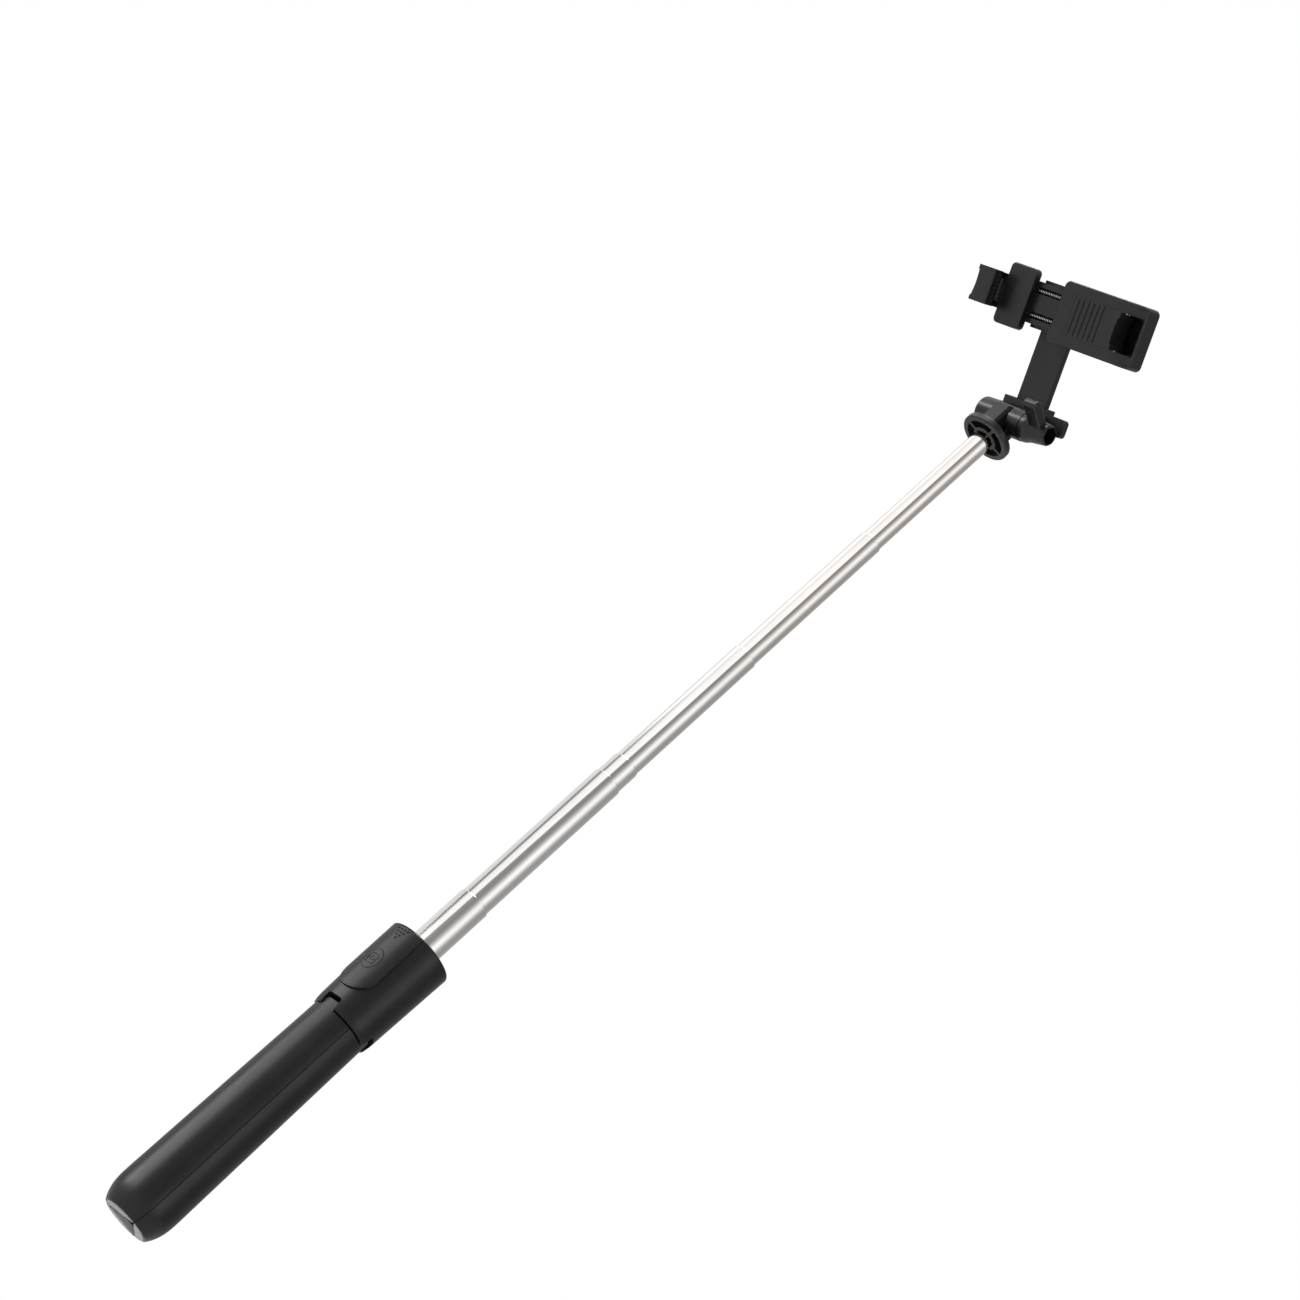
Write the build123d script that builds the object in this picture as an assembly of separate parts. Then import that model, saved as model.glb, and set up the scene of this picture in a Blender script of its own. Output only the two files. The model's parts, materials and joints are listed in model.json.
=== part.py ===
from build123d import *
import os
from math import cos, radians, sin, sqrt

os.makedirs("parts", exist_ok=True)

# Frame: origin on the stick's axis at the feet, +Z along the stick, -Y the shutter side,
# +X along the tilt axis towards the clamping knob. Millimetres throughout.

# Hub
HUB_Z0 = 124.0
HUB_Z1 = 174.0
HUB_R0 = 15.2
HUB_R1 = 17.0
HUB_WAIST_R = 16.0
HUB_WAIST_Z = 132.5
HUB_WALL = 1.8
SKIRT_BORE_R = 14.0
HUB_BEND_Z = 133.6
CORE_Z0 = 124.6
CORE_Z1 = 133.4

# Legs
LEG_COUNT = 3
LEG_TOP_Z = 123.3
LEG_TOP_R = 14.5
LEG_BELLY_R = 15.9
LEG_BELLY_Z = 17.0
FOOT_R = 12.0
FOOT_PAD_R = 11.35
FOOT_PAD_TOP = 2.3
FOOT_LIP = 0.5
LEG_FLOOR = 4.1
LEG_WALL = 1.8
LEG_CHORD = 6.0
LEG_SIDE_GAP = 0.15
LEG_TOP_SLOPE = 1 / 3
COVER_WALL = 1.2
GROOVE_R = 9.4
GROOVE_Z0 = 48.2
HINGE_R = 11.7
HINGE_Z = 126.3
HINGE_PIN_R = 1.0
HINGE_PIN_HALF = 5.5
KNUCKLE_R = 2.3
LUG_HALF = 4.25
NOTCH_HALF = 4.55
NOTCH_TOP = 129.8
LUG_R = 14.4
LUG_TOP = 127.8

# Guide tube, where the stick slides into the handle
GUIDE_R = 9.1
GUIDE_BORE_R = 8.6
GUIDE_THROAT_R = 8.0
GUIDE_Z0 = 50.0
GUIDE_Z1 = 173.6
THROAT_LENGTH = 8.0

# Telescopic tubes, largest first
TUBE_COUNT = 6
TUBE_R1 = 7.95
TUBE_STEP = 0.51
TUBE_WALL = 0.3
TUBE_LENGTH = 118.0
TUBE_TOPS = [207.4, 292.8, 305.0, 385.2, 473.5, 557.0]
LIP_LENGTH = 1.2
BUSH_LENGTH = 8.0
BUSH_LEDGE = 1.0
RUN = 0.05

# Shutter remote
REMOTE_R = 17.2
REMOTE_HALF = 9.9
REMOTE_Z0 = 135.5
REMOTE_Z1 = 173.9
REMOTE_BACK = 10.35
REMOTE_WALL = 1.2
DOCK_FLOOR = 10.2
DOCK_GAP = 0.15
BUTTON_Z = 152.4
BUTTON_HALF_X = 4.15
BUTTON_HALF_Z = 5.5
BUTTON_R = 17.3
CELL_R = 5.0
CELL_THICK = 2.0
CELL_Z = 166.2

# Head collar and tilt joint
COLLAR_Z = 557.0
COLLAR_R = 13.5
COLLAR_THICK = 3.5
TILT_Z = 573.0
TILT_REST = 42.0
NECK_HALF = 5.0
EAR_GAP = 0.3
EAR_R = 7.5
NECK_R = 7.3
NECK_FRONT = -9.0
BOLT_R = 2.5
RIGHT_EAR_END = 13.0
LEFT_EAR_END = -11.5
CAP_END = -15.0
KNOB_END = 28.6
HEX_DEPTH = 4.0
BOLT_HEAD = 3.0
BOLT_HEAD_X = KNOB_END - HEX_DEPTH - BOLT_HEAD

# Phone clamp, measured from the tilt axis with the clamp upright
PHONE_BACK = 4.0
SWIVEL_H = 57.8
PIVOT_R = 3.0
BODY_BACK = 14.0
BODY_FRONT = 8.3
BODY_SPLIT = 11.0
BODY_HALF_H = 10.5
FRAME_HALF_H = 15.5
BODY_X0 = -32.0
BODY_X1 = 22.0
BLOCK_X1 = -15.5
SLIDER_X0 = 3.0
SLIDER_X1 = 57.0
PLATE_BACK = 8.0
RIM_X0 = 47.5
END_X0 = 41.0
END_BACK = 12.0
FLANGE_BACK = 13.5
RECESS_BACK = 10.4
JAW_HALF_H = 9.0
JAW_FRONT = -6.3
LEFT_JAW_THICK = 7.8
RIGHT_JAW_THICK = 5.6
LEFT_FACE = -34.7
RIGHT_FACE = 42.3
LEFT_PIN = (-40.5, 5.4)
RIGHT_PIN = (43.4, 5.2)
JAW_PIN_R = 0.8
JAW_BARREL_R = 1.9
PAD_THICK = 1.5
SPRING_OFFSET = 6.2
SPRING_X0 = -28.0
SPRING_X1 = 3.8


def save(node, shape):
    export_step(shape, f"parts/{node}.step")


def block(x0, x1, y0, y1, z0, z1):
    centre = Pos((x0 + x1) / 2, (y0 + y1) / 2, (z0 + z1) / 2)
    return centre * Box(x1 - x0, y1 - y0, z1 - z0)


def rod_x(radius, x0, x1, y=0.0, z=0.0):
    return Pos((x0 + x1) / 2, y, z) * Rot(0, 90, 0) * Cylinder(radius, x1 - x0)


def rod_y(radius, y0, y1, x=0.0, z=0.0):
    return Pos(x, (y0 + y1) / 2, z) * Rot(90, 0, 0) * Cylinder(radius, y1 - y0)


def rod_z(radius, z0, z1, x=0.0, y=0.0):
    return Pos(x, y, (z0 + z1) / 2) * Cylinder(radius, z1 - z0)


def spun(points):
    """Solid of revolution about the stick's axis from (radius, height) corners."""
    return revolve(make_face(Plane.XZ * Polyline(*points, close=True)), Axis.Z)


def round_z(shape, radius, index=-1):
    """Round the edges that lie highest (index -1) or lowest (index 0)."""
    return fillet(shape.edges().group_by(Axis.Z)[index], radius)


def facing(index):
    """Turn about the stick's axis that brings leg 1's place to leg index + 1."""
    return Rot(0, 0, index * 360 / LEG_COUNT)


# ---------------------------------------------------------------- handle: hub


def dock_plan(half, z0, z1):
    """Outline of the shutter remote: straight sides and a half-round lower end."""
    square = Pos(0, (z0 + half + z1) / 2) * Rectangle(2 * half, z1 - z0 - half)
    return square + Pos(0, z0 + half) * Circle(half)


def dock_prism(half, z0, z1, near, far):
    plane = Plane.XZ.offset(near)
    return extrude(plane * dock_plan(half, z0, z1), far - near)


def screw_places():
    return [facing(i) * Rot(0, 0, 180) * Pos(0, -12.2, 0) for i in range(LEG_COUNT)]


def hub_outside():
    """Hub as a solid of revolution: rim, slow taper to a waist, skirt drawn in below it."""
    skirt = Spline((HUB_R0, HUB_Z0), (HUB_WAIST_R, HUB_WAIST_Z), tangents=((0.28, 1), (0.024, 1)))
    flank = Line(skirt @ 1, (HUB_R1, HUB_Z1))
    top = Line(flank @ 1, (0, HUB_Z1))
    axis = Line(top @ 1, (0, HUB_Z0))
    base = Line(axis @ 1, skirt @ 0)
    return revolve(make_face(Plane.XZ * Curve([skirt, flank, top, axis, base])), Axis.Z)


def hub_shell():
    rounded = round_z(round_z(hub_outside(), 1.2), 0.45, 0)
    hollow_top = HUB_Z1 - 2.2
    hollow = spun([
        (0, HUB_Z0 - 1),
        (SKIRT_BORE_R, HUB_Z0 - 1),
        (SKIRT_BORE_R, HUB_BEND_Z),
        (HUB_WAIST_R - HUB_WALL, HUB_BEND_Z + 1),
        (HUB_R1 - HUB_WALL, hollow_top),
        (0, hollow_top),
    ])
    wall = 1.2
    dock = dock_prism(REMOTE_HALF + DOCK_GAP + wall, REMOTE_Z0 - DOCK_GAP - wall,
                      HUB_Z1, DOCK_FLOOR - 1.0, REMOTE_R + 3)
    bosses = [place * rod_z(2.3, HUB_BEND_Z, HUB_BEND_Z + 12) for place in screw_places()]
    body = rounded - hollow
    body += rounded & dock
    for boss in bosses:
        body += boss
    body -= dock_prism(REMOTE_HALF + DOCK_GAP, REMOTE_Z0 - DOCK_GAP, HUB_Z1 + 20,
                       DOCK_FLOOR, REMOTE_R + 10)
    body -= rod_z(GUIDE_R, HUB_Z0 - 1, HUB_Z1 + 1)
    body -= [place * rod_z(0.8, HUB_Z0, HUB_BEND_Z + 10) for place in screw_places()]
    notch = block(-NOTCH_HALF, NOTCH_HALF, -20, -10, HUB_Z0 - 1, NOTCH_TOP)
    notch = fillet(notch.edges().filter_by(Axis.Y).group_by(Axis.Z)[-1], 1.2)
    body -= [facing(i) * notch for i in range(LEG_COUNT)]
    return body


def hub_core():
    """Ring inside the skirt that holds the three leg hinges."""
    ring = rod_z(SKIRT_BORE_R - 0.05, CORE_Z0, CORE_Z1) - rod_z(GUIDE_R, CORE_Z0, CORE_Z1)
    slot = block(-NOTCH_HALF, NOTCH_HALF, -16, -GUIDE_R - 0.05, CORE_Z0 - 1, NOTCH_TOP)
    hole = rod_x(HINGE_PIN_R, -HINGE_PIN_HALF, HINGE_PIN_HALF, -HINGE_R, HINGE_Z)
    for i in range(LEG_COUNT):
        ring -= facing(i) * slot
        ring -= facing(i) * hole
    for place in screw_places():
        ring -= place * rod_z(1.1, CORE_Z0, CORE_Z1)
        ring -= place * rod_z(1.6, CORE_Z0, CORE_Z0 + 1.8)
    return ring


def leg_hinge_pins():
    pin = rod_x(HINGE_PIN_R, -HINGE_PIN_HALF, HINGE_PIN_HALF, -HINGE_R, HINGE_Z)
    return Compound(children=[facing(i) * pin for i in range(LEG_COUNT)])


def hub_screws():
    head = rod_z(1.55, CORE_Z0 + 0.2, CORE_Z0 + 1.8)
    slot_cut = block(-1.2, 1.2, -0.25, 0.25, CORE_Z0, CORE_Z0 + 0.8)
    cross = slot_cut + Rot(0, 0, 90) * slot_cut
    screw = head + rod_z(0.8, CORE_Z0 + 1.8, HUB_BEND_Z + 7) - cross
    return Compound(children=[place * screw for place in screw_places()])


def guide_tube():
    return spun([
        (GUIDE_BORE_R, GUIDE_Z0),
        (GUIDE_R, GUIDE_Z0),
        (GUIDE_R, GUIDE_Z1),
        (GUIDE_THROAT_R, GUIDE_Z1),
        (GUIDE_THROAT_R, GUIDE_Z1 - THROAT_LENGTH),
        (GUIDE_BORE_R, GUIDE_Z1 - THROAT_LENGTH - 0.6),
    ])


# ---------------------------------------------------------------- handle: legs


def leg_blank(inset, z0):
    """All three closed legs as one solid of revolution, shrunk by inset."""
    top = Line((LEG_TOP_R - inset, LEG_TOP_Z - inset * LEG_TOP_SLOPE),
               (LEG_BELLY_R - inset, LEG_BELLY_Z))
    lower = Spline(top @ 1, (LEG_BELLY_R - 1.0 - inset, 6.0), (FOOT_R - inset, 0),
                   tangents=((0.015, -1), (-0.75, -1)))
    base = Line(lower @ 1, (0, 0))
    axis = Line(base @ 1, (0, LEG_TOP_Z - LEG_TOP_R * LEG_TOP_SLOPE))
    rim = Line(axis @ 1, top @ 0)
    body = revolve(make_face(Plane.XZ * Curve([top, lower, base, axis, rim])), Axis.Z)
    return body - rod_z(30, -5, z0) if z0 > 0 else body


def leg_prism():
    """Plan of leg 1: a third of the circle, cut off by a chord on the inside."""
    def side(y):
        return (-LEG_SIDE_GAP - y * sin(radians(60))) / cos(radians(60))

    far = -24.0
    near = -LEG_CHORD
    plan = Polygon((-side(near), near), (-side(far), far), (side(far), far),
                   (side(near), near), align=None)
    return extrude(plan, 140)


def leg_lug():
    """Tongue that rises from the leg's top through the skirt's notch to its hinge."""
    arm = block(-LUG_HALF, LUG_HALF, -LUG_R, -HINGE_R, 112, LUG_TOP)
    arm = fillet(arm.edges().filter_by(Axis.Y).group_by(Axis.Z)[-1], 1.0) & rod_z(LUG_R, 100, 140)
    arm += block(-LUG_HALF, LUG_HALF, -HINGE_R, -HINGE_R + KNUCKLE_R, 112, HINGE_Z)
    arm += rod_x(KNUCKLE_R, -LUG_HALF, LUG_HALF, -HINGE_R, HINGE_Z)
    return arm - rod_x(HINGE_PIN_R + RUN, -9, 9, -HINGE_R, HINGE_Z)


def leg_shell():
    skin = leg_blank(0, FOOT_LIP) - leg_blank(LEG_WALL, LEG_FLOOR)
    skin -= rod_z(FOOT_PAD_R, 0, FOOT_PAD_TOP)
    skin = skin & leg_prism()
    lug = leg_lug() - rod_z(GROOVE_R, 100, 140)
    return skin + lug


def leg_cover():
    top = 121.0
    inside = leg_blank(LEG_WALL, LEG_FLOOR) & leg_prism()
    plate = block(-20, 20, -LEG_CHORD - COVER_WALL, -LEG_CHORD + 1, LEG_FLOOR, top)
    tunnel = rod_z(GROOVE_R + COVER_WALL, GROOVE_Z0 - COVER_WALL, top)
    wall = (plate + tunnel) & inside
    wall -= rod_z(GROOVE_R, GROOVE_Z0, top + 5)
    return wall - block(-LUG_HALF - 0.1, LUG_HALF + 0.1, -20, 0, 111.9, 140)


def foot_pad():
    return rod_z(FOOT_PAD_R, 0, FOOT_PAD_TOP) & leg_prism()


# ---------------------------------------------------------------- telescopic tubes


def tube_radius(index):
    return TUBE_R1 - TUBE_STEP * index


def tube_foot(index):
    return TUBE_TOPS[index] - TUBE_LENGTH


def tube_section(index):
    r = tube_radius(index)
    z0 = tube_foot(index)
    z1 = TUBE_TOPS[index]
    if index == TUBE_COUNT - 1:
        return rod_z(r, z0, z1 + 8) - rod_z(r - TUBE_WALL, z0, z1 + 8)
    lip = tube_radius(index + 1) + RUN
    return spun([
        (r - TUBE_WALL, z0),
        (r, z0),
        (r, z1 - 0.35),
        (r - 0.1, z1 - 0.1),
        (r - 0.28, z1),
        (lip, z1),
        (lip, z1 - LIP_LENGTH),
        (r - TUBE_WALL, z1 - LIP_LENGTH - 0.4),
    ])


def tube_bush(index):
    """Friction ring on a tube's lower end, with a ledge that the tube stands on."""
    r = tube_radius(index)
    z0 = tube_foot(index)
    bore = GUIDE_BORE_R if index == 0 else tube_radius(index - 1) - TUBE_WALL
    outer = bore - RUN
    ledge = r - 1.3
    return spun([
        (ledge, z0 - BUSH_LEDGE),
        (outer, z0 - BUSH_LEDGE),
        (outer, z0 + BUSH_LENGTH),
        (r, z0 + BUSH_LENGTH),
        (r, z0),
        (ledge, z0),
    ])


# ---------------------------------------------------------------- shutter remote


def remote_solid(inset, near, radius):
    """The remote's outline pushed out to a cylinder about the stick's axis."""
    prism = dock_prism(REMOTE_HALF - inset, REMOTE_Z0 + inset, REMOTE_Z1 - inset,
                       near, radius + 3)
    return prism & rod_z(radius, REMOTE_Z0 - 1, REMOTE_Z1 + 1)


def button_prism(grow, near, far):
    outline = Pos(0, BUTTON_Z) * Ellipse(BUTTON_HALF_X + grow, BUTTON_HALF_Z + grow)
    return extrude(Plane.XZ.offset(near) * outline, far - near)


def dimple_places():
    pitch = 2.0
    rows = 5
    row_step = 1.7
    for row in range(rows):
        z = CELL_Z + row * row_step
        for k in range(row + 1):
            yield (k - row / 2) * pitch, z


def remote_shell():
    shell = remote_solid(0, REMOTE_BACK, REMOTE_R)
    shell = fillet(shell.edges().group_by(Axis.Z)[-1].group_by(Axis.Y)[0], 1.1)
    shell -= remote_solid(REMOTE_WALL, REMOTE_BACK - 1, REMOTE_R - REMOTE_WALL)
    shell -= button_prism(0.22, REMOTE_BACK, REMOTE_R + 3)
    shell -= rod_y(0.65, -REMOTE_R - 1, -REMOTE_BACK - 2, -7.2, BUTTON_Z)
    dimple = 0.7
    for x, z in dimple_places():
        y = -sqrt((REMOTE_R + 0.25) ** 2 - x * x)
        shell -= Pos(x, y, z) * Sphere(dimple)
    return shell


def remote_back_cover():
    return dock_prism(REMOTE_HALF - REMOTE_WALL, REMOTE_Z0 + REMOTE_WALL,
                      REMOTE_Z1 - REMOTE_WALL, REMOTE_BACK, REMOTE_BACK + 1)


def remote_board():
    clear = REMOTE_WALL + 0.3
    near = REMOTE_BACK + 1.1
    return dock_prism(REMOTE_HALF - clear, REMOTE_Z0 + clear, REMOTE_Z1 - clear,
                      near, near + 0.8)


BOARD_FACE = -(REMOTE_BACK + 1.9)


def coin_cell():
    top = BOARD_FACE - CELL_THICK
    cell = rod_y(CELL_R, top, BOARD_FACE, 0, CELL_Z)
    step = rod_y(CELL_R, top, top + 0.4, 0, CELL_Z) - rod_y(CELL_R - 0.4, top, top + 0.4, 0, CELL_Z)
    return cell - step


def battery_clip():
    top = BOARD_FACE - CELL_THICK - RUN
    z0 = CELL_Z - 1.5
    z1 = CELL_Z + 1.5
    strap = block(-5.6, 5.6, top - 0.3, top, z0, z1)
    leg = block(5.2, 5.6, top - 0.1, BOARD_FACE, z0, z1)
    return strap + leg + mirror(leg, Plane.YZ)


def dome_switch():
    base = block(-2.2, 2.2, BOARD_FACE - 0.5, BOARD_FACE, BUTTON_Z - 2.2, BUTTON_Z + 2.2)
    return base + rod_y(1.2, BOARD_FACE - 0.9, BOARD_FACE - 0.5, 0, BUTTON_Z)


def status_lens():
    lens = rod_y(0.6, -REMOTE_R, BOARD_FACE, -7.2, BUTTON_Z)
    return lens & rod_z(REMOTE_R - 0.1, REMOTE_Z0, REMOTE_Z1)


def glyph_prism():
    """Generic camera outline: a rounded box with a round lens and a hump."""
    frame = RectangleRounded(4.6, 5.6, 0.9) - RectangleRounded(3.9, 4.9, 0.6)
    lens = Circle(1.25) - Circle(0.85)
    hump = Pos(-2.55, 0) * Rectangle(0.5, 1.8)
    sketch = Pos(0, BUTTON_Z) * (frame + lens + hump)
    return extrude(Plane.XZ.offset(REMOTE_BACK) * sketch, 10)


def shutter_button():
    flange_y = REMOTE_R - REMOTE_WALL - 1.5
    key = button_prism(0, BOARD_FACE * -1 + 1.5, BUTTON_R + 2) & rod_z(BUTTON_R, 100, 200)
    key += button_prism(0.8, flange_y - 0.6, flange_y)
    return key - (glyph_prism() - rod_z(BUTTON_R - 0.3, 100, 200))


# ---------------------------------------------------------------- head collar, tilt joint


def head_collar():
    top = COLLAR_Z + COLLAR_THICK
    ring = rod_z(COLLAR_R, COLLAR_Z, top)
    ring = fillet(ring.edges().filter_by(GeomType.CIRCLE), 0.8)
    inner_r = tube_radius(TUBE_COUNT - 1)
    well = rod_z(10.6, COLLAR_Z, COLLAR_Z + 2.6) - rod_z(inner_r + 1.2, COLLAR_Z, top)
    ribs = 4
    for i in range(ribs):
        well -= Rot(0, 0, i * 360 / ribs + 45) * block(0, 12, -0.8, 0.8, COLLAR_Z, top)
    body = ring - well
    body += Pos(0, 0, top + 1.0) * Cone(9.2, 7.6, 2.4)
    neck = block(-NECK_HALF, NECK_HALF, -NECK_R, NECK_R, top, TILT_Z)
    neck += rod_x(NECK_R, -NECK_HALF, NECK_HALF, 0, TILT_Z)
    front = block(-NECK_HALF, NECK_HALF, NECK_FRONT, 0, top, TILT_Z + 2.5)
    neck += chamfer(front.edges().group_by(Axis.Y)[0], 1.2)
    body += neck
    body -= rod_z(inner_r, COLLAR_Z - 1, COLLAR_Z + 8)
    return body - rod_x(BOLT_R + RUN, -9, 9, 0, TILT_Z)


def tilt_place():
    return Pos(0, 0, TILT_Z) * Rot(TILT_REST, 0, 0)


def yoke_arm():
    inner = NECK_HALF + EAR_GAP
    bar_y0 = 9.5
    bar_top = 11.0
    arm_y0 = BODY_BACK + 0.4
    arm_y1 = 18.0
    arm_half = 9.0
    right = rod_x(EAR_R, inner, RIGHT_EAR_END)
    left = rod_x(EAR_R, LEFT_EAR_END, -inner)
    arm = right + left
    arm += block(inner, RIGHT_EAR_END, 0, bar_y0 + 1, 0, EAR_R)
    arm += block(LEFT_EAR_END, -inner, 0, bar_y0 + 1, 0, EAR_R)
    bar = block(LEFT_EAR_END - 2, RIGHT_EAR_END + 1, bar_y0, arm_y1, 0, bar_top)
    arm += fillet(bar.edges().filter_by(Axis.Z), 1.2)
    gusset = block(RIGHT_EAR_END, 27.0, bar_y0 + 0.5, bar_y0 + 4, 0, bar_top - 2)
    arm += fillet(gusset.edges().filter_by(Axis.Y).group_by(Axis.X)[-1], 2.0)
    post = block(-arm_half, arm_half, arm_y0, arm_y1, 5, SWIVEL_H)
    arm += post
    arm += rod_y(arm_half, arm_y0, arm_y1, 0, SWIVEL_H)
    arm -= block(-5, 5, arm_y1 - 1.4, arm_y1 + 1, 14, SWIVEL_H - 12)
    arm -= rod_y(PIVOT_R + RUN, 10, 20, 0, SWIVEL_H)
    arm -= rod_x(BOLT_R + RUN, -30, 20)
    nut = extrude(Plane.YZ.offset(LEFT_EAR_END) * RegularPolygon(4.05, 6, major_radius=False), 4)
    return arm - nut


def tilt_nut():
    nut = extrude(Plane.YZ.offset(LEFT_EAR_END) * RegularPolygon(4.0, 6, major_radius=False), 4)
    return nut - rod_x(BOLT_R + RUN, -20, 0)


def nut_cap():
    cap = rod_x(EAR_R, CAP_END, LEFT_EAR_END)
    cap = fillet(cap.edges().group_by(Axis.X)[0], 1.6)
    return cap - rod_x(BOLT_R + 0.3, LEFT_EAR_END - 1, 0)


def tilt_washers():
    inner = NECK_HALF + RUN
    washer = rod_x(6.8, inner, NECK_HALF + EAR_GAP) - rod_x(BOLT_R + 0.2, 0, 9)
    return Compound(children=[washer, mirror(washer, Plane.YZ)])


def knob():
    start = RIGHT_EAR_END + EAR_GAP
    bell = revolve(make_face(Plane.XY * Polyline(
        (start, 0), (start, 7.2), (start + 2.5, 7.2), (19.0, 6.2), (27.8, 5.2),
        (KNOB_END, 4.6), (KNOB_END, 0), close=True)), Axis.X)
    lever = Pos(22, 0, 0) * extrude(
        Plane.YZ.offset(-4) * (Pos(-9.5, 0) * RectangleRounded(21, 5, 2.4)), 8)
    grip = fillet(lever.edges().filter_by(GeomType.LINE).filter_by(Axis.Y), 1.0)
    body = bell + grip
    hexagon = Plane.YZ.offset(BOLT_HEAD_X) * RegularPolygon(4.05, 6, major_radius=False)
    body -= extrude(hexagon, 12)
    body -= rod_x(BOLT_R, 0, 40)
    return Pos(0, 0, TILT_Z) * body


def tilt_bolt():
    shank = rod_x(BOLT_R, LEFT_EAR_END, BOLT_HEAD_X)
    head_plane = Plane.YZ.offset(BOLT_HEAD_X)
    head = extrude(head_plane * RegularPolygon(4.0, 6, major_radius=False), BOLT_HEAD)
    socket = extrude(head_plane * RegularPolygon(2.0, 6, major_radius=False), BOLT_HEAD)
    socket = Pos(1.2, 0, 0) * socket
    return Pos(0, 0, TILT_Z) * (shank + head - socket)


# ---------------------------------------------------------------- phone clamp


def swivel_rivet():
    pin = rod_y(PIVOT_R, BODY_BACK - 2, 18.3, 0, SWIVEL_H)
    head = rod_y(5.2, 18.3, 19.7, 0, SWIVEL_H)
    head = fillet(head.edges().group_by(Axis.Y)[-1], 0.7)
    return pin + head


def swivel_washer():
    ring = rod_y(7.5, BODY_BACK + RUN, BODY_BACK + 0.4, 0, SWIVEL_H)
    return ring - rod_y(PIVOT_R + 0.15, 10, 20, 0, SWIVEL_H)


def at_height(shape):
    return Pos(0, 0, SWIVEL_H) * shape


def jaw_ears():
    x, y = LEFT_PIN
    ear = block(x - 1.8, x + 1.9, y, BODY_SPLIT, 5.8, 8.8) + rod_z(1.8, 5.8, 8.8, x, y)
    return ear + mirror(ear, Plane.XY)


def clamp_back_shell():
    h = BODY_HALF_H
    shell = block(BODY_X0, BODY_X1, BODY_SPLIT, BODY_BACK, -h, h)
    shell = fillet(shell.edges().filter_by(Axis.Z).group_by(Axis.Y)[-1], 1.2)
    shell -= block(BODY_X0 + 2, BODY_X1 - 2, BODY_SPLIT - 1, BODY_BACK - 1.3, -h + 2.5, h - 2.5)
    neck = block(LEFT_PIN[0] - 1.8, BODY_X0 + 1, BODY_SPLIT - 0.8, BODY_BACK, -8.8, 8.8)
    shell += fillet(neck.edges().filter_by(Axis.Z).group_by(Axis.X)[0], 0.7)
    rail = block(-14, BODY_X1, BODY_SPLIT + 0.1, BODY_SPLIT + 1.5, h - 0.1, h + 1.5)
    shell += rail + mirror(rail, Plane.XY)
    shell += jaw_ears()
    shell += rod_y(PIVOT_R + 1.5, BODY_SPLIT + 0.6, BODY_BACK)
    anchor = rod_y(0.8, BODY_SPLIT - 0.8, BODY_BACK - 1, SPRING_X0 - 1.0, SPRING_OFFSET)
    shell += anchor + mirror(anchor, Plane.XY)
    shell -= rod_y(PIVOT_R, BODY_BACK - 2, 20)
    x, y = LEFT_PIN
    return at_height(shell - rod_z(JAW_PIN_R, -8.8, 8.8, x, y))


def clamp_front_shell():
    h = BODY_HALF_H
    shell = block(BODY_X0, BODY_X1, BODY_FRONT, BODY_SPLIT, -h, h)
    cover = block(BODY_X0, BLOCK_X1, PHONE_BACK, BODY_FRONT, -FRAME_HALF_H, FRAME_HALF_H)
    cover = fillet(cover.edges().filter_by(Axis.Y), 2.5)
    shell += fillet(cover.edges().group_by(Axis.Y)[0], 0.6)
    shell -= block(BODY_X0 + 2, BODY_X1 - 2, BODY_SPLIT - 1.7, BODY_SPLIT + 1, -h + 2.5, h - 2.5)
    slot = block(-14.5, BODY_X1 - 2, BODY_FRONT - 1, BODY_SPLIT,
                 SPRING_OFFSET - 1.6, SPRING_OFFSET + 1.6)
    shell -= slot + mirror(slot, Plane.XY)
    return at_height(shell - block(BODY_X0, BODY_X0 + 1.1, BODY_SPLIT - 0.9, 12, -9, 9))


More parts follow.
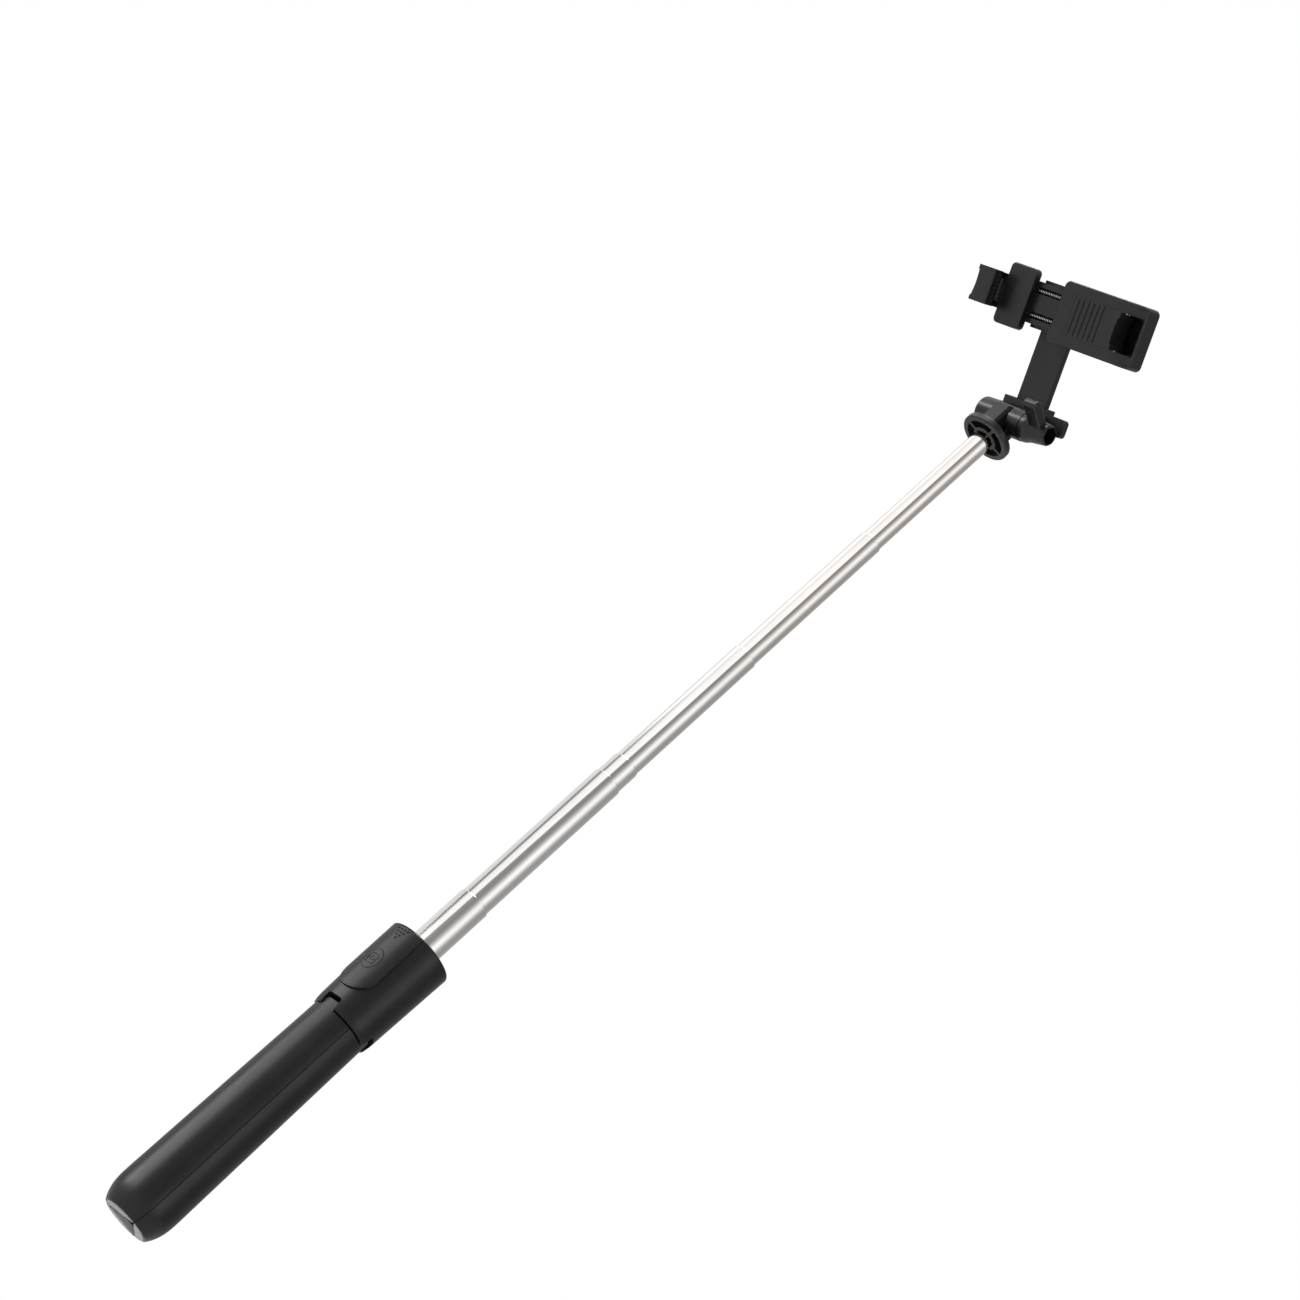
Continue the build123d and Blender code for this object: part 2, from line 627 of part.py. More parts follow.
def slider_frame():
    h = FRAME_HALF_H
    plate = block(SLIDER_X0, SLIDER_X1, PHONE_BACK, PLATE_BACK, -h, h)
    plate = fillet(plate.edges().filter_by(Axis.Y), 3.0)
    plate = fillet(plate.edges().group_by(Axis.Y)[0], 0.6)
    flange = block(SLIDER_X0, END_X0 + 1, PLATE_BACK - 1, FLANGE_BACK, BODY_HALF_H + 0.3, h)
    flange = fillet(flange.edges().filter_by(Axis.X).group_by(Axis.Y)[-1], 1.0)
    flange -= block(SLIDER_X0 - 1, END_X0, 10.8, 12.8, BODY_HALF_H, BODY_HALF_H + 1.8)
    end = block(END_X0, SLIDER_X1, PLATE_BACK - 1, END_BACK, -h, h)
    end = fillet(end.edges().filter_by(Axis.Y).group_by(Axis.X)[-1], 3.0)
    end = fillet(end.edges().group_by(Axis.Y)[-1], 1.0)
    post = rod_y(1.2, PLATE_BACK - 1, BODY_SPLIT + 0.8, SPRING_X1 + 1.2, SPRING_OFFSET)
    rim = block(RIM_X0, SLIDER_X1, PHONE_BACK - 1.6, PHONE_BACK + 1, -h, h)
    rim = fillet(rim.edges().filter_by(Axis.Y).group_by(Axis.X)[-1], 3.0)
    rim = fillet(rim.edges().group_by(Axis.Y)[0], 0.5)
    rim -= block(RIM_X0 - 1, SLIDER_X1 - 1.2, 0, PHONE_BACK, -h + 1.2, h - 1.2)
    body = plate + flange + mirror(flange, Plane.XY) + post + mirror(post, Plane.XY)
    body += end + rim
    x, y = RIGHT_PIN
    gap = JAW_HALF_H + 0.4
    window = block(x - 2.6, SLIDER_X1 - 1.2, 0, RECESS_BACK, -gap, gap)
    body -= fillet(window.edges().filter_by(Axis.Y), 0.8)
    body -= block(12, 38, PHONE_BACK - 1, PHONE_BACK + 0.8, -10, 10)
    return at_height(body - rod_z(JAW_PIN_R, -12, 12, x, y))


def back_pad():
    pad = block(12.1, 37.9, PHONE_BACK, PHONE_BACK + 0.8, -9.9, 9.9)
    ribs = 8
    for i in range(ribs):
        x = 14.2 + i * 3.1
        pad -= block(x, x + 0.8, PHONE_BACK - 1, PHONE_BACK + 0.35, -9, 9)
    return at_height(pad)


def jaw(pin, face, side, thick):
    """Jaw standing forward from its hinge; side is -1 for the left and 1 for the right."""
    x, y = pin
    h = JAW_HALF_H
    back_face = face + side * PAD_THICK
    outer = face + side * thick
    plan_low = min(back_face, outer)
    plan_high = max(back_face, outer)
    wall = block(plan_low, plan_high, JAW_FRONT, y, -h, h)
    lip_tip = face - side * 2.8
    lip = block(min(lip_tip, outer), max(lip_tip, outer), JAW_FRONT, JAW_FRONT + 2, -h, h)
    lip = fillet(lip.edges().filter_by(Axis.Z).group_by(Axis.Y)[0], 0.9)
    body = wall + lip
    body = body & block(-80, 80, JAW_FRONT, y, -h, h)
    scoop = Pos(outer + side * 38.9, 0, 0) * Rot(90, 0, 0) * Cylinder(40, 40)
    body -= scoop & block(-80, 80, -20, 20, -6.6, 6.6)
    barrel = rod_z(JAW_BARREL_R, -h, h, x, y)
    return body, barrel


def left_jaw():
    body, barrel = jaw(LEFT_PIN, LEFT_FACE, -1, LEFT_JAW_THICK)
    x, y = LEFT_PIN
    ear_room = rod_z(2.3, 5.5, 12, x, y) + block(x - 3, x + 3, y - 2.3, y + 4, 5.5, 12)
    shape = body + barrel
    shape -= ear_room + mirror(ear_room, Plane.XY)
    return at_height(shape - rod_z(JAW_PIN_R + RUN, -12, 12, x, y))


def right_jaw():
    body, barrel = jaw(RIGHT_PIN, RIGHT_FACE, 1, RIGHT_JAW_THICK)
    x, y = RIGHT_PIN
    return at_height(body + barrel - rod_z(JAW_PIN_R + RUN, -12, 12, x, y))


def jaw_pad(face, side):
    """Rubber strip with ridges across it, glued to the jaw's inner face."""
    back = face + side * PAD_THICK
    low = min(face, back)
    pad = block(low, low + PAD_THICK, -4.2, 2.8, -8.4, 8.4)
    ridges = 8
    pitch = 2.1
    for i in range(ridges):
        z = (i - (ridges - 1) / 2) * pitch
        cut = rod_y(0.45, -9, 9, face, z)
        pad -= cut
    return at_height(pad)


def jaw_spring(sign):
    """Envelope of one of the two tension springs that pull the slider in."""
    z = sign * SPRING_OFFSET
    coil = rod_x(1.45, SPRING_X0, SPRING_X1 - 0.2, BODY_SPLIT, z)
    return at_height(coil - rod_x(0.95, SPRING_X0, SPRING_X1, BODY_SPLIT, z))


def left_jaw_pin():
    x, y = LEFT_PIN
    return at_height(rod_z(JAW_PIN_R, -8.8, 8.8, x, y))


def right_jaw_pin():
    x, y = RIGHT_PIN
    return at_height(rod_z(JAW_PIN_R, -12, 12, x, y))


# ---------------------------------------------------------------- write every node

fixed_nodes = {
    "hub_shell": hub_shell(),
    "hub_core": hub_core(),
    "leg_hinge_pins": leg_hinge_pins(),
    "hub_screws": hub_screws(),
    "guide_tube": guide_tube(),
    "guide_tube_cap": rod_z(GUIDE_BORE_R, GUIDE_Z0, GUIDE_Z0 + 1.6),
    "remote_shell": remote_shell(),
    "remote_back_cover": remote_back_cover(),
    "remote_board": remote_board(),
    "coin_cell": coin_cell(),
    "battery_clip": battery_clip(),
    "dome_switch": dome_switch(),
    "status_lens": status_lens(),
    "shutter_button": shutter_button(),
    "head_collar": head_collar(),
    "knob": knob(),
    "tilt_bolt": tilt_bolt(),
    "tube_end_plug": rod_z(TUBE_R1 - 1.3, tube_foot(0) - BUSH_LEDGE, tube_foot(0) + 0.2),
}
for node, shape in fixed_nodes.items():
    save(node, shape)

leg_pieces = {"leg_shell": leg_shell(), "leg_cover": leg_cover(), "foot_pad": foot_pad()}
for i, letter in enumerate("abc"):
    for name, shape in leg_pieces.items():
        save(f"{name}_{letter}", facing(i) * shape)

for i in range(TUBE_COUNT):
    save(f"tube_{i + 1}", tube_section(i))
    save(f"tube_bush_{i + 1}", tube_bush(i))

head_pieces = {
    "yoke_arm": yoke_arm(),
    "tilt_nut": tilt_nut(),
    "nut_cap": nut_cap(),
    "tilt_washers": tilt_washers(),
    "swivel_washer": swivel_washer(),
    "swivel_rivet": swivel_rivet(),
    "clamp_back_shell": clamp_back_shell(),
    "clamp_front_shell": clamp_front_shell(),
    "slider_frame": slider_frame(),
    "back_pad": back_pad(),
    "left_jaw": left_jaw(),
    "left_jaw_pad": jaw_pad(LEFT_FACE, -1),
    "left_jaw_pin": left_jaw_pin(),
    "right_jaw": right_jaw(),
    "right_jaw_pad": jaw_pad(RIGHT_FACE, 1),
    "right_jaw_pin": right_jaw_pin(),
    "jaw_spring_upper": jaw_spring(1),
    "jaw_spring_lower": jaw_spring(-1),
}
for node, shape in head_pieces.items():
    save(node, tilt_place() * shape)
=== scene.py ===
"""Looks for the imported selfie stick: materials, fine details, stage, lights and camera."""

import json
from math import cos, pi, radians, sin

import bpy
from mathutils import Matrix, Vector


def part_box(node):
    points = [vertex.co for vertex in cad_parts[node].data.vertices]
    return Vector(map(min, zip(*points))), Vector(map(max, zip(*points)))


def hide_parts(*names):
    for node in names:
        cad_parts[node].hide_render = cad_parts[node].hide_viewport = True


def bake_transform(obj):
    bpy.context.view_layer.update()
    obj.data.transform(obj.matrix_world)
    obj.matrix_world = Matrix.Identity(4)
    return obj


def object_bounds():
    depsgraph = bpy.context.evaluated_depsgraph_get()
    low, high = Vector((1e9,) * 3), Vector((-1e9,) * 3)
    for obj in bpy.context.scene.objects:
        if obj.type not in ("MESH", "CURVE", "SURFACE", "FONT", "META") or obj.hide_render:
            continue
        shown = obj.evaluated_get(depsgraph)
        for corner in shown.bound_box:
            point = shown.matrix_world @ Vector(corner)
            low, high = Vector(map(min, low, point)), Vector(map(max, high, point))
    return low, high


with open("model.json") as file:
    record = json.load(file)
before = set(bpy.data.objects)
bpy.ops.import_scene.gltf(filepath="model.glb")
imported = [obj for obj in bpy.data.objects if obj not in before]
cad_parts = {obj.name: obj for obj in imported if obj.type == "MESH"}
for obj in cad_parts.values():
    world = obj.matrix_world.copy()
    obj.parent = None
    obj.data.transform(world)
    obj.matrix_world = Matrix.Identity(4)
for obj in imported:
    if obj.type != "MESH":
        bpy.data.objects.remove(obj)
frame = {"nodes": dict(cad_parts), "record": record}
CAD_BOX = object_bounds()
NODES = frame["nodes"]

# Camera: the stick is seen from below, with its feet nearer, and runs up to the right.
CAMERA_AZIMUTH = 45.7
CAMERA_ELEVATION = -22.7
CAMERA_ROLL = 48.2
CAMERA_DISTANCE = 1.50
CAMERA_TARGET_HEIGHT = 0.31
CAMERA_SIDE = 0.0075
CAMERA_RISE = 0.0492
CAMERA_LENS = 91.0

# Jaw springs. OFF_AXIS is any direction that no part of a spring runs along.
SPRING_TURNS = 26
SPRING_STEPS = 14
SPRING_WIRE = 0.00028
SPRING_HOOK = 0.0016
SPRING_LEAD = 0.4 * SPRING_HOOK
OFF_AXIS = Vector((0.31, 0.87, 0.39))

# Floor
FLOOR_DROP = 0.75
FLOOR_HALF = 40.0
FLOOR_DARK = (0.87, 0.87, 0.87)
FLOOR_PALE = (0.885, 0.885, 0.885)

# Soft box in front of the stick, high up and a little to the left
KEY_AZIMUTH = -20
KEY_ELEVATION = 55
KEY_DISTANCE = 1.8
KEY_SIZE = (0.9, 0.9)
KEY_POWER = 24

# Studio walls: (compass angle in degrees, brightness). The low ones are what the mouldings
# reflect and the high ones are what the tubes reflect.
WALLS_LOW = [(-180.0, 0.45), (-156.0, 0.65), (-90.0, 0.27), (-48.0, 0.27), (-24.0, 0.85),
             (-14.0, 2.60), (0.0, 3.60), (8.0, 2.60), (18.0, 0.75), (34.0, 0.34),
             (95.0, 0.42), (180.0, 0.45)]
WALLS_HIGH = [(-180.0, 0.90), (-158.0, 0.78), (-146.0, 0.70), (-141.0, 0.20), (-134.0, 0.20),
              (-84.0, 0.35), (-57.0, 0.28), (-46.0, 0.31), (-34.0, 0.46), (-21.0, 0.80),
              (-9.0, 1.12), (4.0, 1.12), (17.0, 0.80), (32.0, 0.42), (52.0, 0.33),
              (95.0, 0.40), (130.0, 0.60), (180.0, 0.90)]

# Bright bank on one side: (compass angle in degrees, share of its full level). It is one wide
# panel low down, is narrower in the middle, and has two thin dimmer lines at the top.
BANK_LOW = [(-153.0, 0.0), (-149.0, 1.0), (-60.0, 1.0)]
BANK_MIDDLE = [(-134.0, 0.0), (-126.0, 0.55), (-114.0, 0.95), (-60.0, 1.0)]
BANK_HIGH = [(-178.0, 0.0), (-172.0, 0.6), (-165.0, 1.0), (-142.0, 1.0), (-140.0, 0.6),
             (-138.0, 1.0), (-123.5, 1.0), (-121.0, 0.5), (-118.5, 1.0), (-60.0, 1.0)]
BANK_LEVEL_LOW = 9.5
BANK_LEVEL_HIGH = 0.85

# Heights in the studio, as the upward part of the direction looked in
BANK_BOTTOM = (-0.02, 0.03)
HIGH_START = (0.245, 0.262)
BANK_TOP_START = (0.36, 0.39)

# The bank's far edge leans: its compass value, 0 to 1, at two heights
LEAN_HEIGHTS = (0.22, 0.38)
LEAN_EDGE = (0.212, 0.325)
LEAN_SOFTNESS = 0.004

WARM_TINT = [(0.36, (1.0, 1.0, 1.0)), (0.44, (1.0, 0.965, 0.945))]
WHITE = (1.0, 1.0, 1.0, 1.0)


# ------------------------------------------------------------------ node helpers


def material(name):
    mat = bpy.data.materials.new(name)
    mat.use_nodes = True
    tree = mat.node_tree
    tree.nodes.clear()
    out = tree.nodes.new("ShaderNodeOutputMaterial")
    shader = tree.nodes.new("ShaderNodeBsdfPrincipled")
    tree.links.new(shader.outputs["BSDF"], out.inputs["Surface"])
    return mat, tree, shader


def object_coords(tree, scale=(1.0, 1.0, 1.0)):
    coords = tree.nodes.new("ShaderNodeTexCoord")
    mapping = tree.nodes.new("ShaderNodeMapping")
    mapping.inputs["Scale"].default_value = scale
    tree.links.new(coords.outputs["Object"], mapping.inputs["Vector"])
    return mapping.outputs["Vector"]


def noise(tree, vector, scale, detail=3.0, rough=0.5):
    node = tree.nodes.new("ShaderNodeTexNoise")
    node.inputs["Scale"].default_value = scale
    node.inputs["Detail"].default_value = detail
    node.inputs["Roughness"].default_value = rough
    tree.links.new(vector, node.inputs["Vector"])
    return node.outputs["Fac"]


def remap(tree, value, low, high, new_low, new_high):
    node = tree.nodes.new("ShaderNodeMapRange")
    for key, number in zip(("From Min", "From Max", "To Min", "To Max"),
                           (low, high, new_low, new_high)):
        node.inputs[key].default_value = number
    tree.links.new(value, node.inputs["Value"])
    return node.outputs["Result"]


def ramp(tree, value, stops):
    node = tree.nodes.new("ShaderNodeValToRGB")
    elements = node.color_ramp.elements
    while len(elements) < len(stops):
        elements.new(0.5)
    for element, (place, colour) in zip(elements, stops):
        element.position = place
        element.color = (*colour, 1.0)
    tree.links.new(value, node.inputs["Fac"])
    return node.outputs["Color"]


def bump(tree, shader, height, strength, distance):
    node = tree.nodes.new("ShaderNodeBump")
    node.inputs["Strength"].default_value = strength
    node.inputs["Distance"].default_value = distance
    tree.links.new(height, node.inputs["Height"])
    tree.links.new(node.outputs["Normal"], shader.inputs["Normal"])


def math_node(tree, operation, first, second):
    node = tree.nodes.new("ShaderNodeMath")
    node.operation = operation
    for socket, value in zip(node.inputs, (first, second)):
        if isinstance(value, (int, float)):
            socket.default_value = value
        else:
            tree.links.new(value, socket)
    return node.outputs["Value"]


def blend_values(tree, share, first, second):
    """first where share is 0, second where it is 1."""
    kept = math_node(tree, "MULTIPLY", math_node(tree, "SUBTRACT", 1.0, share), first)
    return math_node(tree, "ADD", kept, math_node(tree, "MULTIPLY", share, second))


# ------------------------------------------------------------------ materials


def moulded_plastic(name, colour, rough, grain, depth, level=0.22):
    """Satin moulded plastic: spark-eroded grain, faint flow clouding and handling marks."""
    mat, tree, shader = material(name)
    vector = object_coords(tree)
    cloud = noise(tree, vector, scale=55.0, detail=4.0, rough=0.6)
    grain_height = noise(tree, vector, scale=grain, detail=2.0, rough=0.6)
    smear = noise(tree, object_coords(tree, (1.0, 1.0, 0.25)), scale=260.0, detail=5.0, rough=0.65)
    dark = tuple(c * 0.82 for c in colour)
    light = tuple(c * 1.25 for c in colour)
    shade = ramp(tree, cloud, [(0.30, dark), (0.72, light)])
    tree.links.new(shade, shader.inputs["Base Color"])
    tree.links.new(remap(tree, smear, 0.25, 0.8, rough - 0.03, rough + 0.05),
                   shader.inputs["Roughness"])
    shader.inputs["Specular IOR Level"].default_value = level
    bump(tree, shader, grain_height, strength=0.35, distance=depth)
    return mat


def polished_steel(name):
    """Polished stainless tube: drawn lines along its length and a trace of warm tint."""
    mat, tree, shader = material(name)
    lines = noise(tree, object_coords(tree, (1.0, 1.0, 0.02)), scale=2600.0, detail=2.0, rough=0.5)
    smudge = noise(tree, object_coords(tree, (1.0, 1.0, 0.4)), scale=90.0, detail=4.0, rough=0.6)
    tint = ramp(tree, smudge, [(0.25, (0.80, 0.785, 0.765)), (0.75, (0.88, 0.87, 0.855))])
    tree.links.new(tint, shader.inputs["Base Color"])
    shader.inputs["Metallic"].default_value = 1.0
    tree.links.new(remap(tree, smudge, 0.3, 0.75, 0.05, 0.09), shader.inputs["Roughness"])
    bump(tree, shader, lines, strength=0.05, distance=0.00001)
    return mat


def plated_steel(name, colour, rough):
    """Plated or oxidised steel, slightly spotted."""
    mat, tree, shader = material(name)
    vector = object_coords(tree)
    spots = noise(tree, vector, scale=900.0, detail=4.0, rough=0.6)
    light = tuple(min(1.0, c * 1.1) for c in colour)
    tree.links.new(ramp(tree, spots, [(0.3, colour), (0.8, light)]), shader.inputs["Base Color"])
    shader.inputs["Metallic"].default_value = 1.0
    tree.links.new(remap(tree, spots, 0.2, 0.8, rough - 0.08, rough + 0.1),
                   shader.inputs["Roughness"])
    bump(tree, shader, spots, strength=0.15, distance=0.00003)
    return mat


def rubber(name, colour):
    """Matt rubber with a fine grain."""
    mat, tree, shader = material(name)
    vector = object_coords(tree)
    cloud = noise(tree, vector, scale=140.0, detail=5.0, rough=0.6)
    fine = noise(tree, vector, scale=1800.0, detail=3.0, rough=0.6)
    dark = tuple(c * 0.85 for c in colour)
    light = tuple(c * 1.15 for c in colour)
    tree.links.new(ramp(tree, cloud, [(0.3, dark), (0.75, light)]), shader.inputs["Base Color"])
    tree.links.new(remap(tree, fine, 0.2, 0.8, 0.62, 0.82), shader.inputs["Roughness"])
    shader.inputs["Specular IOR Level"].default_value = 0.3
    bump(tree, shader, fine, strength=0.12, distance=0.00003)
    return mat


def circuit_board(name):
    """Green solder mask over a pattern of copper cells."""
    mat, tree, shader = material(name)
    vector = object_coords(tree, (1.0, 0.05, 1.0))
    cells = tree.nodes.new("ShaderNodeTexVoronoi")
    cells.feature = "DISTANCE_TO_EDGE"
    cells.inputs["Scale"].default_value = 420.0
    tree.links.new(vector, cells.inputs["Vector"])
    colour = ramp(tree, cells.outputs["Distance"],
                  [(0.03, (0.03, 0.20, 0.08)), (0.06, (0.008, 0.06, 0.025))])
    tree.links.new(colour, shader.inputs["Base Color"])
    shader.inputs["Roughness"].default_value = 0.3
    return mat


def smoked_lens(name):
    """Dark glossy plastic in front of the status light."""
    mat, tree, shader = material(name)
    vector = object_coords(tree)
    haze = noise(tree, vector, scale=1500.0, detail=2.0)
    tree.links.new(ramp(tree, haze, [(0.3, (0.02, 0.02, 0.022)), (0.8, (0.05, 0.05, 0.055))]),
                   shader.inputs["Base Color"])
    shader.inputs["Roughness"].default_value = 0.12
    shader.inputs["Coat Weight"].default_value = 0.6
    return mat


FINISHES = {
    "black_abs": moulded_plastic("satin_black_abs", (0.0110, 0.0110, 0.0117),
                                 rough=0.32, grain=5200, depth=0.00001),
    "dark_moulding": moulded_plastic("matt_black_moulding", (0.006, 0.006, 0.0065),
                                     rough=0.5, grain=3800, depth=0.00002),
    "grey_black_nylon": moulded_plastic("textured_nylon", (0.0070, 0.0070, 0.0075),
                                        rough=0.30, grain=3000, depth=0.00002, level=0.38),
    "grey_rubber": rubber("grey_foot_rubber", (0.36, 0.36, 0.36)),
    "black_rubber": rubber("black_grip_rubber", (0.014, 0.014, 0.014)),
    "polished_steel": polished_steel("polished_steel_tube"),
    "anodised_tube": plated_steel("black_anodised", (0.05, 0.05, 0.055), rough=0.4),
    "acetal": moulded_plastic("natural_acetal", (0.50, 0.49, 0.46),
                              rough=0.4, grain=2500, depth=0.00003, level=0.5),
    "steel_hardware": plated_steel("zinc_plate", (0.52, 0.53, 0.55), rough=0.32),
    "black_oxide": plated_steel("black_oxide_steel", (0.008, 0.008, 0.009), rough=0.5),
    "spring_steel": plated_steel("spring_wire", (0.62, 0.62, 0.61), rough=0.2),
    "circuit_board": circuit_board("solder_mask"),
    "lens": smoked_lens("smoked_lens"),
}


def dress_cad_nodes():
    """Each CAD piece takes the finish that its material slot names."""
    for part in frame["record"]["subparts"]:
        node = NODES[part["node"]]
        node.data.materials[0] = FINISHES[part["material_slot"]]


dress_cad_nodes()


# ------------------------------------------------------------------ coil springs


def wire_rings(path, radius, sides):
    """Points of one ring of the wire for each point of the path."""
    points = []
    last = len(path) - 1
    for i, point in enumerate(path):
        ahead = (path[min(i + 1, last)] - path[max(i - 1, 0)]).normalized()
        across = ahead.cross(OFF_AXIS).normalized()
        other = ahead.cross(across)
        for k in range(sides):
            angle = 2 * pi * k / sides
            points.append(point + radius * (cos(angle) * across + sin(angle) * other))
    return points


def wire_faces(rings, sides):
    """Sides and two end caps of a wire."""
    faces = []
    for i in range(rings - 1):
        for k in range(sides):
            here = i * sides + k
            after = i * sides + (k + 1) % sides
            faces.append((here, after, after + sides, here + sides))
    faces.append(tuple(reversed(range(sides))))
    faces.append(tuple(range((rings - 1) * sides, rings * sides)))
    return faces


def wire_mesh(name, path, radius, sides=8):
    """Closed round wire along a list of points."""
    faces = wire_faces(len(path), sides)
    mesh = bpy.data.meshes.new(name)
    mesh.from_pydata(wire_rings(path, radius, sides), [], faces)
    mesh.polygons.foreach_set("use_smooth", [True] * len(faces))
    mesh.update()
    obj = bpy.data.objects.new(name, mesh)
    bpy.context.scene.collection.objects.link(obj)
    return obj


def coil_path(low, high, middle):
    """The spring's turns, between its two hooks."""
    coil = (high.y - low.y) / 2 - SPRING_WIRE
    count = SPRING_TURNS * SPRING_STEPS
    length = high.x - low.x - 2 * SPRING_HOOK
    points = []
    for i in range(count + 1):
        angle = 2 * pi * i / SPRING_STEPS
        x = low.x + SPRING_HOOK + length * i / count
        points.append(Vector((x, middle.y + coil * cos(angle), middle.z + coil * sin(angle))))
    return points


def jaw_spring(node):
    """Helical spring with straight ends on its axis, in place of the CAD's plain tube."""
    low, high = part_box(node)
    middle = (low + high) / 2
    turns = coil_path(low, high, middle)
    ends = [low.x + SPRING_WIRE, turns[0].x - SPRING_LEAD,
            turns[-1].x + SPRING_LEAD, high.x - SPRING_WIRE]
    on_axis = [Vector((x, middle.y, middle.z)) for x in ends]
    obj = wire_mesh(node + "_coil", on_axis[:2] + turns + on_axis[2:], SPRING_WIRE)
    obj.data.materials.append(FINISHES["spring_steel"])
    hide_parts(node)
    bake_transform(obj)


for name in ("jaw_spring_upper", "jaw_spring_lower"):
    jaw_spring(name)


# ------------------------------------------------------------------ stage and lights


def floor():
    """Plain pale floor, far enough below the stick that it doesn't meet it in any pose."""
    low, _ = CAD_BOX
    mat, tree, shader = material("pale_floor")
    mottle = noise(tree, object_coords(tree), scale=3.0, detail=4.0)
    shade = ramp(tree, mottle, [(0.3, FLOOR_DARK), (0.7, FLOOR_PALE)])
    tree.links.new(shade, shader.inputs["Base Color"])
    shader.inputs["Roughness"].default_value = 0.9
    z = low[2] - FLOOR_DROP
    signs = ((-1, -1), (1, -1), (1, 1), (-1, 1))
    corners = [(x * FLOOR_HALF, y * FLOOR_HALF, z) for x, y in signs]
    mesh = bpy.data.meshes.new("floor")
    mesh.from_pydata(corners, [], [(0, 1, 2, 3)])
    mesh.materials.append(mat)
    obj = bpy.data.objects.new("floor", mesh)
    bpy.context.scene.collection.objects.link(obj)


def compass_ramp(tree, around, stops):
    """Brightness by compass angle, whose -180 to 180 degrees are 0 to 1 of the gradient."""
    return ramp(tree, around, [((angle + 180.0) / 360.0, (v, v, v)) for angle, v in stops])


def wall_light(tree, around, rise):
    """Dim grey walls with a brighter side bank."""
    low = compass_ramp(tree, around, WALLS_LOW)
    high = compass_ramp(tree, around, WALLS_HIGH)
    return blend_values(tree, rise, low, high)


def bank_light(tree, around, height, rise):
    """Tall bright bank whose far edge leans."""
    low = compass_ramp(tree, around, BANK_LOW)
    middle = compass_ramp(tree, around, BANK_MIDDLE)
    high = compass_ramp(tree, around, BANK_HIGH)
    top = remap(tree, height, *BANK_TOP_START, 0.0, 1.0)
    shape = blend_values(tree, top, blend_values(tree, rise, low, middle), high)
    edge = remap(tree, height, *LEAN_HEIGHTS, *LEAN_EDGE)
    past_edge = math_node(tree, "SUBTRACT", around, edge)
    inside = remap(tree, past_edge, -LEAN_SOFTNESS, LEAN_SOFTNESS, 1.0, 0.0)
    above = remap(tree, height, *BANK_BOTTOM, 0.0, 1.0)
    strength = remap(tree, height, *HIGH_START, BANK_LEVEL_LOW, BANK_LEVEL_HIGH)
    level = math_node(tree, "MULTIPLY", above, strength)
    return math_node(tree, "MULTIPLY", math_node(tree, "MULTIPLY", inside, shape), level)


def studio_tint(tree, height, seen):
    """Slightly warm light high up, and pure white where the backdrop itself is seen."""
    mix = tree.nodes.new("ShaderNodeMix")
    mix.data_type = "RGBA"
    warm, plain = [socket for socket in mix.inputs if socket.type == "RGBA"]
    tree.links.new(seen, mix.inputs["Factor"])
    tree.links.new(ramp(tree, height, WARM_TINT), warm)
    plain.default_value = WHITE
    return next(socket for socket in mix.outputs if socket.type == "RGBA")


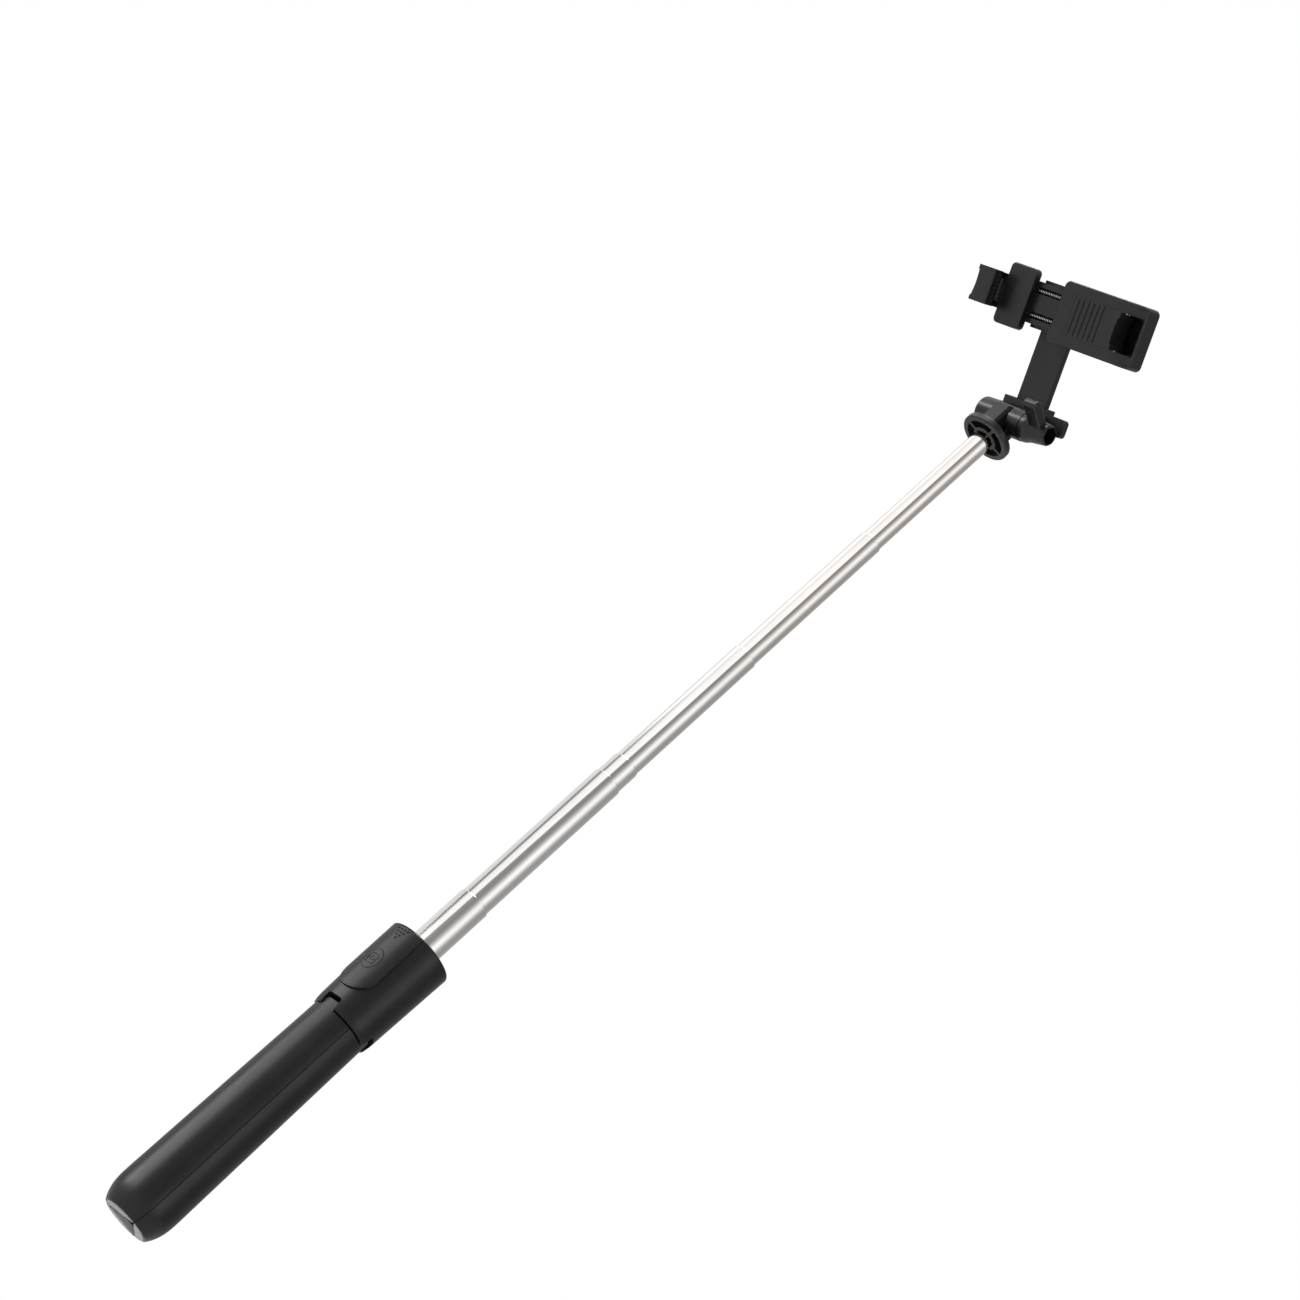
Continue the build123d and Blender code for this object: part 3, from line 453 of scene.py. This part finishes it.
def studio_world():
    """Studio that shows as light and in reflections, while the camera sees plain white."""
    world = bpy.data.worlds.new("studio")
    world.use_nodes = True
    tree = world.node_tree
    background = tree.nodes["Background"]
    coords = tree.nodes.new("ShaderNodeTexCoord")
    compass = tree.nodes.new("ShaderNodeTexGradient")
    compass.gradient_type = "RADIAL"
    tree.links.new(coords.outputs["Generated"], compass.inputs["Vector"])
    split = tree.nodes.new("ShaderNodeSeparateXYZ")
    tree.links.new(coords.outputs["Generated"], split.inputs["Vector"])
    around = compass.outputs["Fac"]
    height = split.outputs["Z"]
    rise = remap(tree, height, *HIGH_START, 0.0, 1.0)
    walls = wall_light(tree, around, rise)
    light = math_node(tree, "ADD", walls, bank_light(tree, around, height, rise))
    seen = tree.nodes.new("ShaderNodeLightPath").outputs["Is Camera Ray"]
    tree.links.new(blend_values(tree, seen, light, 1.0), background.inputs["Strength"])
    tree.links.new(studio_tint(tree, height, seen), background.inputs["Color"])
    bpy.context.scene.world = world


def area_light(name, azimuth, elevation, distance, size, power):
    """Soft box at a place around the stick's middle, facing it."""
    low, high = CAD_BOX
    target = Vector((0, 0, (low[2] + high[2]) / 2))
    a, e = radians(azimuth), radians(elevation)
    place = target + distance * Vector((sin(a) * cos(e), -cos(a) * cos(e), sin(e)))
    data = bpy.data.lights.new(name, "AREA")
    data.shape = "RECTANGLE"
    data.size, data.size_y = size
    data.energy = power
    obj = bpy.data.objects.new(name, data)
    obj.location = place
    obj.rotation_euler = (target - place).to_track_quat("-Z", "Y").to_euler()
    bpy.context.scene.collection.objects.link(obj)


def camera():
    """The view from below and to the right, rolled so that the stick runs up to the right."""
    a, e, r = radians(CAMERA_AZIMUTH), radians(CAMERA_ELEVATION), radians(CAMERA_ROLL)
    back = Vector((sin(a) * cos(e), -cos(a) * cos(e), sin(e)))
    level = Vector((cos(a), sin(a), 0))
    upright = back.cross(level)
    right = level * cos(r) + upright * sin(r)
    up = -level * sin(r) + upright * cos(r)
    place = Vector((0, 0, CAMERA_TARGET_HEIGHT)) + back * CAMERA_DISTANCE
    place += right * CAMERA_SIDE + up * CAMERA_RISE
    data = bpy.data.cameras.new("camera")
    data.lens = CAMERA_LENS
    data.sensor_width = 36.0
    data.clip_start = 0.01
    obj = bpy.data.objects.new("camera", data)
    obj.matrix_world = Matrix((right, up, back)).transposed().to_4x4()
    obj.location = place
    bpy.context.scene.collection.objects.link(obj)
    bpy.context.scene.camera = obj


floor()
studio_world()
area_light("key", KEY_AZIMUTH, KEY_ELEVATION, KEY_DISTANCE, KEY_SIZE, KEY_POWER)
camera()
bpy.context.scene.view_settings.view_transform = "Standard"
